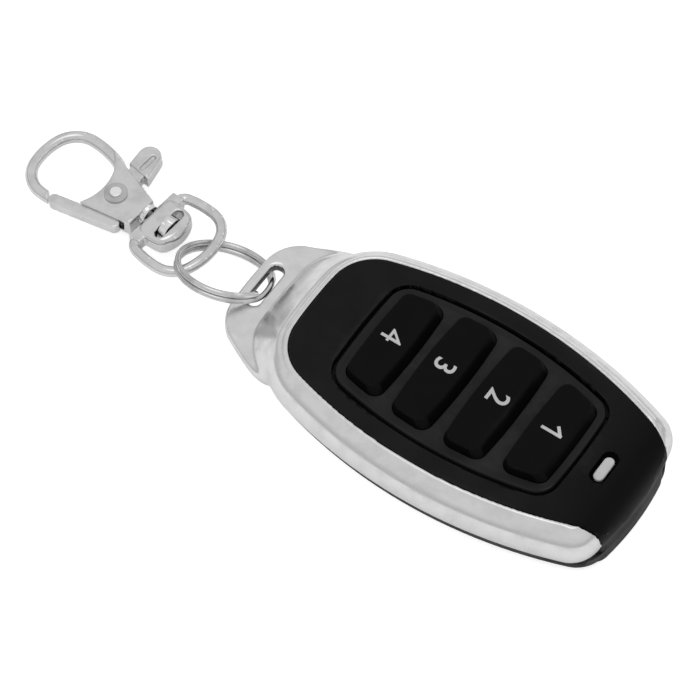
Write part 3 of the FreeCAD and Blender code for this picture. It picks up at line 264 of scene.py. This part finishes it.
# a dark copy of the plating: painted shade on the slot's walls
paintedSlotShade = chromeFinish("paintedSlotShade", 320.0, 0.00002, 0.2, 0.1, 0.15, 0.3, 0.6)
# a darker copy for the rivet's heads and a near-white one for its buttons: painted shade and a painted
# highlight
rivetShadedChrome = chromeFinish("rivetShadedChrome", 320.0, 0.00001, 0.6, 0.5, 0.12, 0.24, 0.6, 0.1)
paintedButtonHighlight = chromeFinish("paintedButtonHighlight", 320.0, 0.00001, 0.98, 0.95, 0.3, 0.4)
ringSteel = chromeFinish("ringSteel", 700.0, 0.00002, 0.7, 0.52, 0.08, 0.18)
# name, grain, bump depth, deep and rubbed tone, least and most roughness, worn edge, mirror, and where the
# painted shade at the nose runs along X
shellBlack = blackFinish("shellBlack", 5200.0, 0.000006, 0.006, 0.009, 0.34, 0.46, 0.016, 0.1, (0.019, 0.027))
baseBlack = blackFinish("baseBlack", 4200.0, 0.00001, 0.02, 0.032, 0.42, 0.6, 0.05, 0.2)
matBlack = blackFinish("matBlack", 7000.0, 0.000005, 0.012, 0.016, 0.5, 0.65, 0.025, 0.16)
keyBlack = blackFinish("keyBlack", 1500.0, 0.000002, 0.002, 0.003, 0.3, 0.4, 0.006, 0.07)
# painted shade for the sunk ring round the window
paintedPitShade = blackFinish("paintedPitShade", 5200.0, 0.000006, 0.001, 0.002, 0.6, 0.7, 0.003, 0.04)
boardGreen = blackFinish("boardGreen", 2500.0, 0.00001, 0.04, 0.07, 0.3, 0.5, 0.1, 0.4)
# milky light pipe and printed ink
windowMilk = paleFinish("windowMilk", 2200.0, 0.000006, 0.5, 0.66, 0.12, 0.25, 0.5)
numeralInk = paleFinish("numeralInk", 6000.0, 0.000004, 0.52, 0.62, 0.4, 0.6, 0.0)
print("remote: finishes built")


# helpers for pieces; points nearer than weld, in metres, become one
weld = 0.000002


def onlySelect(thing):
    bpy.ops.object.select_all(action="DESELECT")
    thing.select_set(True)
    bpy.context.view_layer.objects.active = thing


def wearFinish(thing, finish):
    thing.data.materials.clear()
    thing.data.materials.append(finish)


def looseCopy(node):
    # a copy of a CAD node with its doubles merged, to be shaped on its own
    onlySelect(frame["nodes"][node])
    bpy.ops.object.duplicate()
    piece = bpy.context.view_layer.objects.active
    bpy.ops.object.mode_set(mode="EDIT")
    bpy.ops.mesh.select_all(action="SELECT")
    bpy.ops.mesh.remove_doubles(threshold=weld)
    bpy.ops.object.mode_set(mode="OBJECT")
    return piece


def carve(piece, tool, operation):
    # a boolean whose tool is used up
    onlySelect(piece)
    cut = piece.modifiers.new("cut", "BOOLEAN")
    cut.operation, cut.object = operation, tool
    bpy.ops.object.modifier_apply(modifier="cut")
    onlySelect(tool)
    bpy.ops.object.delete()
    onlySelect(piece)


# the line on which the rim's lip runs on to the nose, as two upright cylinders
lipLine = {"peak": 3.5, "radius": 65.0, "half": 12.88, "steps": 720, "tall": 30.0,
           "grow": (1.004, 1.004, 1.03, 1)}


def cutAtLip(piece, hand, operation):
    place = (lipLine["peak"] * mm, hand * (lipLine["half"] - lipLine["radius"]) * mm, 0)
    bpy.ops.mesh.primitive_cylinder_add(vertices=lipLine["steps"], radius=lipLine["radius"] * mm,
                                        depth=lipLine["tall"] * mm, location=place)
    carve(piece, bpy.context.object, operation)


def keepInsideLip(piece):
    for hand in (1, -1):
        cutAtLip(piece, hand, "INTERSECT")


def trimToShell(piece):
    # the rim's lip gets a clean edge where the black shell begins
    shell = looseCopy("top_cover")
    keepInsideLip(shell)
    shell.data.transform(Matrix.Diagonal(lipLine["grow"]))
    carve(piece, shell, "DIFFERENCE")


def smoothCopy(node, name, finish, body, angle=28.0, flat=0.3):
    # a merged copy of a CAD node, with smooth faces, that stands for it
    piece = looseCopy(node)
    piece.name = name
    if node == "top_cover":
        keepInsideLip(piece)
    bpy.ops.object.mode_set(mode="EDIT")
    bpy.ops.mesh.select_all(action="SELECT")
    bpy.ops.mesh.dissolve_limited(angle_limit=math.radians(flat))
    bpy.ops.object.mode_set(mode="OBJECT")
    bpy.ops.object.shade_smooth_by_angle(angle=math.radians(angle))
    lean = piece.modifiers.new("lean", "WEIGHTED_NORMAL")
    lean.keep_sharp = True
    bpy.ops.object.modifier_apply(modifier="lean")
    wearFinish(piece, finish)
    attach(piece, body)
    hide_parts(node)
    return piece


# cast pieces are remade from small even faces, and the rim's slope flows into its lug
flow = {"factor": 0.5, "sharp": 50.0, "passes": 70, "tail": (-26.8, -25.6), "front": (-14.0, -18.0),
        "foot": (4.1, 4.75), "crest": (9.0, 8.4)}


def ramp(value, ends):
    return min(1.0, max(0.0, (value - ends[0]) / (ends[1] - ends[0])))


def slopeGroup(piece):
    slope = piece.vertex_groups.new(name="slope")
    for point in piece.data.vertices:
        spot = point.co / mm
        weight = ramp(spot.x, flow["tail"]) * ramp(spot.x, flow["front"])
        weight *= ramp(spot.z, flow["foot"]) * ramp(spot.z, flow["crest"])
        if weight > 0:
            slope.add([point.index], weight, "REPLACE")


def settle(piece, passes, group=""):
    ease = piece.modifiers.new("settle", "SMOOTH")
    ease.factor, ease.iterations, ease.vertex_group = flow["factor"], passes, group
    bpy.ops.object.modifier_apply(modifier="settle")


def plateCorners(piece):
    # the nose's corners beside the two tips are plated with the rim
    corners = []
    for hand in (1, -1):
        corner = looseCopy("top_cover")
        cutAtLip(corner, hand, "DIFFERENCE")
        corners.append(corner)
    onlySelect(piece)
    for corner in corners:
        corner.select_set(True)
    bpy.ops.object.join()


def keepMain(piece):
    # the remake can leave a tiny closed speck beside the casting itself
    farthest = max(piece.data.vertices, key=lambda point: point.co.x).index
    bpy.ops.object.mode_set(mode="EDIT")
    bpy.ops.mesh.select_mode(type="VERT")
    bpy.ops.mesh.select_all(action="DESELECT")
    bpy.ops.object.mode_set(mode="OBJECT")
    piece.data.vertices[farthest].select = True
    bpy.ops.object.mode_set(mode="EDIT")
    bpy.ops.mesh.select_linked()
    bpy.ops.mesh.select_all(action="INVERT")
    bpy.ops.mesh.delete(type="VERT")
    bpy.ops.object.mode_set(mode="OBJECT")


def castCopy(node, name, finish, body, voxel, passes):
    # a remade and smoothed copy of a cast CAD node, that stands for it
    piece = looseCopy(node)
    piece.name = name
    if node == "metal_frame":
        plateCorners(piece)
    remake = piece.modifiers.new("remake", "REMESH")
    remake.mode, remake.voxel_size = "VOXEL", voxel * mm
    bpy.ops.object.modifier_apply(modifier="remake")
    keepMain(piece)
    settle(piece, passes)
    if node == "metal_frame":
        slopeGroup(piece)
        settle(piece, flow["passes"], "slope")
        trimToShell(piece)
    bpy.ops.object.shade_smooth_by_angle(angle=math.radians(flow["sharp"]))
    wearFinish(piece, finish)
    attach(piece, body)
    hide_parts(node)
    return piece


# for each node: the piece, its finish, its body, the remake's cell in mm and the passes of smoothing
castings = {
    "metal_frame": ("chromeRim", rimChrome, "housing", 0.19, 3),
    "swivel_bow": ("claspBow", claspChrome, "bow", 0.1, 14),
    "hook_body": ("claspHook", claspChrome, "hook", 0.1, 6),
    "gate_lever": ("claspGate", claspChrome, "gate", 0.1, 5),
}
cast = {node: castCopy(node, *entry) for node, entry in castings.items()}

# for each node: the piece, its finish, its body, and the angles for sharp edges and for flat faces
dressing = {
    "top_cover": ("upperShell", shellBlack, "housing", 28.0, 0.01),
    "bottom_cover": ("lowerShell", baseBlack, "housing"),
    "keypad_mat": ("softMat", matBlack, "housing"),
    "led_window": ("lightWindow", windowMilk, "housing"),
    "split_ring": ("keyRing", ringSteel, "ring", 60.0),
    "swivel_post": ("claspPost", claspChrome, "hook"),
    "gate_rivet": ("claspRivet", rivetShadedChrome, "hook"),
}
pieces = {node: smoothCopy(node, *entry) for node, entry in dressing.items()}


def paintWhere(piece, finish, test):
    piece.data.materials.append(finish)
    for polygon in piece.data.polygons:
        if test(polygon.center / mm, polygon.normal):
            polygon.material_index = len(piece.data.materials) - 1


# painted shade on the sunk ring round the window
recess = {"x": 24.5, "half": 1.2, "long": 2.55, "top": 9.37}
paintWhere(pieces["top_cover"], paintedPitShade, lambda spot, normal: abs(spot.x - recess["x"]) < recess["half"]
           and abs(spot.y) < recess["long"] and spot.z < recess["top"])
# painted shade on the slot's walls, which are also duller
slot = {"x": -27.6, "y": 0.5, "half": 1.15, "long": 3.7, "steep": 0.5}
paintWhere(cast["metal_frame"], paintedSlotShade, lambda spot, normal: abs(spot.x - slot["x"]) < slot["half"]
           and abs(spot.y - slot["y"]) < slot["long"] and abs(normal.z) < slot["steep"])
# a painted highlight on the rivet's two buttons, which stand above its heads
heights = [corner[2] / mm for corner in pieces["gate_rivet"].bound_box]
button = {"tall": 0.22}
paintWhere(pieces["gate_rivet"], paintedButtonHighlight,
           lambda spot, normal: not min(heights) + button["tall"] < spot.z < max(heights) - button["tall"])
for number in (1, 2, 3, 4):
    smoothCopy("key_%d" % number, "keyCap%d" % number, keyBlack, "key_%d_body" % number)
for node, thing in frame["nodes"].items():
    if node.startswith("switch") or node in ("encoder_chip", "chip_passives", "tuning_coil"):
        wearFinish(thing, matBlack)
    elif node == "circuit_board":
        wearFinish(thing, boardGreen)
    elif node in ("coin_cell", "battery_clip", "battery_contact", "cover_screws", "radio_resonator"):
        wearFinish(thing, ringSteel)
    elif node == "indicator_led":
        wearFinish(thing, windowMilk)
print("remote: pieces dressed")


# numerals printed on the keys, their tops towards the indicator end
numerals = {"centres": {4: (-7.57, 0.29), 3: (0.28, 0.35), 2: (8.42, 0.23), 1: (16.65, 0.42)}, "tall": 3.0,
            "top": 10.8, "rise": 0.012, "stroke": 0.43, "flag": 1.5, "slant": 39.0,
            "bold": {4: 0.0, 3: 0.03, 2: 0.035}, "figureHeight": 0.72, "curve": 6}


def printOne():
    # a stem and a slanted flag that share their top corner, drawn with their tops towards +Y
    tall, stroke, flag = numerals["tall"] * mm, numerals["stroke"] * mm, numerals["flag"] * mm
    bars = []
    for across, up, wide, high in ((0, 0, stroke, tall), (-flag / 2, (tall - stroke) / 2, flag, stroke)):
        bpy.ops.mesh.primitive_cube_add(size=1, location=(across, up, 0))
        bar = bpy.context.object
        bar.scale = (wide, high, numerals["rise"] * mm)
        bpy.ops.object.transform_apply(location=True, rotation=False, scale=True)
        bars.append(bar)
    stem, wing = bars
    onlySelect(wing)
    bpy.ops.object.mode_set(mode="EDIT")
    bpy.ops.mesh.select_all(action="SELECT")
    tip = (0, (tall - stroke) / 2, 0)
    bpy.ops.transform.rotate(value=-math.radians(numerals["slant"]), orient_axis="Z", center_override=tip)
    bpy.ops.object.mode_set(mode="OBJECT")
    carve(stem, wing, "UNION")
    return stem


def printText(number):
    bpy.ops.object.text_add()
    figure = bpy.context.object
    figure.data.body = str(number)
    figure.data.size = numerals["tall"] * mm / numerals["figureHeight"]
    figure.data.extrude = numerals["rise"] * mm / 2
    figure.data.resolution_u = numerals["curve"]
    figure.data.offset = numerals["bold"][number] * mm
    bpy.ops.object.convert(target="MESH")
    return bpy.context.object


quarterTurn = Matrix(((0, 1, 0, 0), (-1, 0, 0, 0), (0, 0, 1, 0), (0, 0, 0, 1)))
for number, (centre, aside) in numerals["centres"].items():
    figure = printOne() if number == 1 else printText(number)
    corners = [point.co for point in figure.data.vertices]
    low, high = min(spot.y for spot in corners), max(spot.y for spot in corners)
    left, right = min(spot.x for spot in corners), max(spot.x for spot in corners)
    grow = numerals["tall"] * mm / (high - low)
    figure.data.transform(Matrix.Translation((-(left + right) / 2, -(low + high) / 2, 0)))
    figure.data.transform(Matrix.Diagonal((grow, grow, 1, 1)))
    figure.data.transform(quarterTurn)
    height = (numerals["top"] + numerals["rise"] / 2) * mm
    figure.data.transform(Matrix.Translation((centre * mm, aside * mm, height)))
    figure.name = "numeral%d" % number
    wearFinish(figure, numeralInk)
    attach(figure, "key_%d_body" % number)
print("remote: numerals printed")


# floor, surroundings and light; the floor's level and size are in metres
studio = {"floor": 2.0, "level": -0.00002, "matt": 0.9, "mottle": 30.0, "mottled": (0.3, 0.7),
          "tones": (0.9, 0.92), "lift": 0.62, "shine": 0.16, "fill": 0.62, "horizon": 0.56, "zenith": 0.9,
          "gloom": 0.05, "glow": 0.4, "spark": (0.93, 0.98, 0.8)}
bpy.ops.object.select_all(action="DESELECT")
bpy.ops.mesh.primitive_plane_add(size=studio["floor"], location=(0, 0, studio["level"]))
floor = bpy.context.object
floor.name = "floor"
floorFinish, tree, shader, place = newFinish("paleFloor")
shader.inputs["Roughness"].default_value = studio["matt"]
mottle = spread(tree, noiseNode(tree, place, studio["mottle"]), *studio["mottled"], 0.0, 1.0)
dull, pale = studio["tones"]
tree.links.new(blendColour(tree, mottle, grey(dull), grey(pale)), shader.inputs["Base Color"])
# the camera sees a paler floor than the one that lights the object
path = tree.nodes.new("ShaderNodeLightPath")
seen = combine(tree, "MAXIMUM", path.outputs["Is Camera Ray"], path.outputs["Is Transmission Ray"])
seen = combine(tree, "ADD", seen, combine(tree, "MULTIPLY", path.outputs["Is Glossy Ray"], studio["shine"]))
tree.links.new(combine(tree, "MULTIPLY", seen, studio["lift"]), shader.inputs["Emission Strength"])
shader.inputs["Emission Color"].default_value = grey(1.0)
wearFinish(floor, floorFinish)

# an even room, which mirrors see dimmer near the horizon and brightest overhead
world = bpy.data.worlds.new("softRoom")
bpy.context.scene.world = world
world.use_nodes = True
tree = world.node_tree
tree.nodes.clear()
out = tree.nodes.new("ShaderNodeOutputWorld")
fill = tree.nodes.new("ShaderNodeBackground")
seenSky = tree.nodes.new("ShaderNodeBackground")
mirrored = tree.nodes.new("ShaderNodeBackground")
fill.inputs["Color"].default_value = grey(1.0)
fill.inputs["Strength"].default_value = studio["fill"]
seenSky.inputs["Color"].default_value = grey(1.0)
axis = tree.nodes.new("ShaderNodeSeparateXYZ")
tree.links.new(tree.nodes.new("ShaderNodeTexCoord").outputs["Generated"], axis.inputs["Vector"])
band = spread(tree, axis.outputs["Z"], studio["gloom"], studio["glow"], studio["horizon"], studio["zenith"])
low, high, extra = studio["spark"]
spark = spread(tree, axis.outputs["Z"], low, high, 0.0, extra)
tree.links.new(combine(tree, "ADD", band, spark), mirrored.inputs["Strength"])
path = tree.nodes.new("ShaderNodeLightPath")
glossMix, seenMix = tree.nodes.new("ShaderNodeMixShader"), tree.nodes.new("ShaderNodeMixShader")
tree.links.new(path.outputs["Is Glossy Ray"], glossMix.inputs[0])
tree.links.new(fill.outputs[0], glossMix.inputs[1])
tree.links.new(mirrored.outputs[0], glossMix.inputs[2])
tree.links.new(path.outputs["Is Camera Ray"], seenMix.inputs[0])
tree.links.new(glossMix.outputs[0], seenMix.inputs[1])
tree.links.new(seenSky.outputs[0], seenMix.inputs[2])
tree.links.new(seenMix.outputs[0], out.inputs["Surface"])

# place, width and power of each lamp, none of which shows in the plating
lamps = {"keyLamp": ((-0.45, -0.25, 0.45), 0.5, 0.9), "sideLamp": ((0.4, -0.35, 0.35), 0.5, 0.6),
         "rearLamp": ((0.1, 0.5, 0.3), 0.45, 0.35)}
aim = Vector((-0.01, 0, 0))
for lampName, (spot, wide, power) in lamps.items():
    data = bpy.data.lights.new(lampName, "AREA")
    data.shape, data.size, data.energy = "DISK", wide, power
    lamp = bpy.data.objects.new(lampName, data)
    bpy.context.scene.collection.objects.link(lamp)
    lamp.location = spot
    lamp.visible_glossy = False
    lamp.rotation_euler = (aim - Vector(spot)).to_track_quat("-Z", "Y").to_euler()
print("remote: studio lit")


# camera where the photograph was taken from; clip distances in metres, other lengths in mm
shot = {"azimuth": 124.483, "height": 58.5, "away": 588.9, "right": -11.546, "up": 7.752, "lens": 236.19,
        "sensor": 36.0, "clip": (0.01, 10.0)}
turn, tilt = math.radians(shot["azimuth"]), math.radians(shot["height"])
look = Vector((math.cos(tilt) * math.cos(turn), math.cos(tilt) * math.sin(turn), -math.sin(tilt)))
right = look.cross(Vector((0, 0, 1))).normalized()
up = right.cross(look)
cameraData = bpy.data.cameras.new("camera")
camera = bpy.data.objects.new("camera", cameraData)
bpy.context.scene.collection.objects.link(camera)
cameraData.lens = shot["lens"]
cameraData.sensor_width = shot["sensor"]
cameraData.clip_start, cameraData.clip_end = shot["clip"]
stand = (look * -shot["away"] + right * shot["right"] + up * shot["up"]) * mm
camera.matrix_world = Matrix((right, up, -look)).transposed().to_4x4()
camera.location = stand
bpy.context.scene.camera = camera
bpy.context.scene.view_settings.view_transform = "Standard"

print("remote: camera set")
